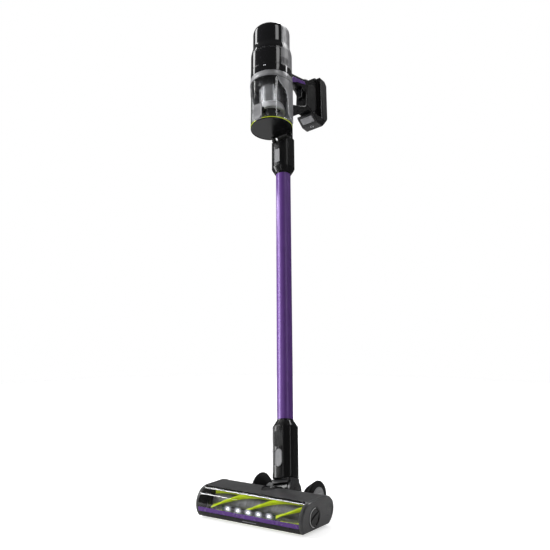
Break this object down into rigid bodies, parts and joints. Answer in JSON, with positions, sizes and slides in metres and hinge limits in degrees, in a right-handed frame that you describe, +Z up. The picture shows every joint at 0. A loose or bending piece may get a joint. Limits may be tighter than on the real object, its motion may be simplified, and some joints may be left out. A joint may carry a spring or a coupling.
{
  "type": "cordless stick vacuum cleaner",
  "caption": "Cordless stick vacuum: floor head with driven brush, swivel neck, straight wand and a handheld unit with a clear dust cup, loop handle and battery.",
  "frame": {"origin": "on the floor under the middle of the floor head, on the flat skid behind its brush opening", "axes": "+Z up, -Y the front of the floor head, +X its right-hand end (the end with the brush release knob); the wand leans back and to -X"},
  "size_m": [0.4161, 0.6409, 1.0924],
  "materials": {
    "charcoal_plastic": "matte",
    "black_plastic": "satin",
    "gloss_black": "gloss",
    "smoked_window": "gloss",
    "purple_metal": "satin",
    "purple_plastic": "satin",
    "grey_plastic": "matte",
    "button_grey": "satin",
    "ring_silver": "satin",
    "shroud_silver": "satin",
    "clear_cup": "gloss",
    "lime_rubber": "satin",
    "lime_bristle": "soft",
    "tyre_rubber": "matte",
    "belt_rubber": "matte",
    "steel": "brushed",
    "motor_metal": "satin",
    "led_lens": "gloss",
    "circuit_board": "satin",
    "filter_media": "pleated",
    "filter_foam": "soft",
    "cell_wrap": "satin",
    "white_plastic": "satin"
  },
  "bodies": {
    "floor_head": {"head_cover": "charcoal_plastic", "brush_chamber": "black_plastic", "neck_socket": "black_plastic", "sole_plate": "black_plastic", "window": "smoked_window", "trim_strip": "purple_plastic", "bumper": "black_plastic", "end_cap_left": "charcoal_plastic", "end_cap_right": "charcoal_plastic", "led_board": "circuit_board", "led_lenses": "led_lens", "brush_bearing": "steel", "drive_motor": "motor_metal", "drive_belt": "belt_rubber", "wheel_axles": "steel", "case_screws": "steel"},
    "brush_roll": {"brush_core": "black_plastic", "brush_bristles": "lime_bristle", "brush_pulley": "grey_plastic"},
    "drive_pulley": {"motor_pulley": "grey_plastic"},
    "knob": {"release_knob": "black_plastic"},
    "wheel_left": {"tyre_left": "tyre_rubber", "hub_left": "grey_plastic"},
    "wheel_right": {"tyre_right": "tyre_rubber", "hub_right": "grey_plastic"},
    "roller_left": {"sole_roller_left": "tyre_rubber"},
    "roller_right": {"sole_roller_right": "tyre_rubber"},
    "neck": {"neck_drum": "charcoal_plastic", "neck_pins": "steel"},
    "lower_tube": {"lower_connector": "black_plastic"},
    "lower_release": {"lower_button": "button_grey"},
    "wand": {"wand_tube": "purple_metal", "upper_connector": "black_plastic"},
    "upper_release": {"upper_button": "button_grey"},
    "handheld": {"inlet_duct": "black_plastic", "trim_ring": "ring_silver", "indicator_band": "gloss_black", "front_cover": "gloss_black", "rear_housing": "grey_plastic", "exhaust_filter": "filter_media", "main_motor": "motor_metal", "pre_filter": "filter_foam", "handle_frame": "black_plastic", "accent_band": "purple_plastic", "handle_screws": "steel"},
    "rear_cap": {"filter_cover": "gloss_black"},
    "fan": {"impeller": "white_plastic"},
    "power_trigger": {"trigger": "gloss_black"},
    "mode_key": {"mode_button": "button_grey"},
    "cup": {"dust_cup": "clear_cup", "cup_frame": "grey_plastic", "shroud": "shroud_silver", "shroud_collar": "black_plastic", "hinge_pins": "steel"},
    "door": {"cup_door": "gloss_black", "door_seal": "lime_rubber"},
    "door_catch": {"door_latch": "button_grey"},
    "battery": {"battery_case": "grey_plastic", "battery_cells": "cell_wrap"},
    "battery_catch": {"battery_release": "black_plastic"}
  },
  "joints": [
    {"name": "brush_spin", "type": "hinge", "parent": "floor_head", "child": "brush_roll", "pos_m": [0, -0.028, 0.029], "axis": [1, 0, 0], "continuous": true},
    {"name": "drive_pulley_spin", "type": "hinge", "parent": "floor_head", "child": "drive_pulley", "pos_m": [-0.108, 0.026, 0.034], "axis": [1, 0, 0], "continuous": true},
    {"name": "knob_turn", "type": "hinge", "parent": "floor_head", "child": "knob", "pos_m": [0.12, -0.028, 0.029], "axis": [1, 0, 0], "range_deg": [0, 45]},
    {"name": "wheel_left_spin", "type": "hinge", "parent": "floor_head", "child": "wheel_left", "pos_m": [-0.058, 0.075, 0.035], "axis": [1, 0, 0], "continuous": true},
    {"name": "wheel_right_spin", "type": "hinge", "parent": "floor_head", "child": "wheel_right", "pos_m": [0.058, 0.075, 0.035], "axis": [1, 0, 0], "continuous": true},
    {"name": "roller_left_spin", "type": "hinge", "parent": "floor_head", "child": "roller_left", "pos_m": [-0.096, 0.009, 0.007], "axis": [1, 0, 0], "continuous": true},
    {"name": "roller_right_spin", "type": "hinge", "parent": "floor_head", "child": "roller_right", "pos_m": [0.096, 0.009, 0.007], "axis": [1, 0, 0], "continuous": true},
    {"name": "neck_swivel", "type": "hinge", "parent": "floor_head", "child": "neck", "pos_m": [0, 0.065, 0.042], "axis": [0, 1, 0], "range_deg": [-21.5, 48.5]},
    {"name": "neck_tilt", "type": "hinge", "parent": "neck", "child": "lower_tube", "pos_m": [0, 0.065, 0.042], "axis": [0.9724, 0, 0.2334], "range_deg": [-61, 19]},
    {"name": "lower_button_press", "type": "slide", "parent": "lower_tube", "child": "lower_release", "axis": [0.076, 0.9455, -0.3166], "range_m": [0, 0.003], "stiffness_N_per_m": 900, "springref_m": -0.002},
    {"name": "wand_pull", "type": "slide", "parent": "lower_tube", "child": "wand", "axis": [-0.2207, 0.3256, 0.9194], "range_m": [0, 0.045]},
    {"name": "upper_button_press", "type": "slide", "parent": "wand", "child": "upper_release", "axis": [0.076, 0.9455, -0.3166], "range_m": [0, 0.003], "stiffness_N_per_m": 900, "springref_m": -0.002},
    {"name": "handheld_pull", "type": "slide", "parent": "wand", "child": "handheld", "axis": [-0.2207, 0.3256, 0.9194], "range_m": [0, 0.04]},
    {"name": "rear_cap_pull", "type": "slide", "parent": "handheld", "child": "rear_cap", "axis": [-0.2207, 0.3256, 0.9194], "range_m": [0, 0.03]},
    {"name": "fan_spin", "type": "hinge", "parent": "handheld", "child": "fan", "pos_m": [-0.22422, 0.34707, 0.97596], "axis": [-0.2207, 0.3256, 0.9194], "continuous": true},
    {"name": "trigger_pull", "type": "slide", "parent": "handheld", "child": "power_trigger", "axis": [0.076, 0.9455, -0.3166], "range_m": [0, 0.006], "stiffness_N_per_m": 600, "springref_m": -0.002},
    {"name": "mode_press", "type": "slide", "parent": "handheld", "child": "mode_key", "axis": [0.2207, -0.3256, -0.9194], "range_m": [0, 0.0015], "stiffness_N_per_m": 900, "springref_m": -0.002},
    {"name": "cup_slide", "type": "slide", "parent": "handheld", "child": "cup", "axis": [-0.076, -0.9455, 0.3166], "range_m": [0, 0.05]},
    {"name": "door_swing", "type": "hinge", "parent": "cup", "child": "door", "pos_m": [-0.18321, 0.33206, 0.80513], "axis": [0.9724, 0, 0.2334], "range_deg": [0, 42]},
    {"name": "latch_rock", "type": "hinge", "parent": "cup", "child": "door_catch", "pos_m": [-0.19644, 0.25036, 0.86025], "axis": [-0.9724, 0, -0.2334], "range_deg": [0, 6], "stiffness_Nm_per_rad": 0.4, "springref_deg": -8.59},
    {"name": "battery_pull", "type": "slide", "parent": "handheld", "child": "battery", "axis": [0.2207, -0.3256, -0.9194], "range_m": [0, 0.05]},
    {"name": "battery_release_press", "type": "slide", "parent": "battery", "child": "battery_catch", "axis": [-0.1356, 0.8141, 0.5647], "range_m": [0, 0.002], "stiffness_N_per_m": 900, "springref_m": -0.002}
  ],
  "couplings": [
    {"joint": "drive_pulley_spin", "follows": "brush_spin", "ratio": 2.4}
  ]
}
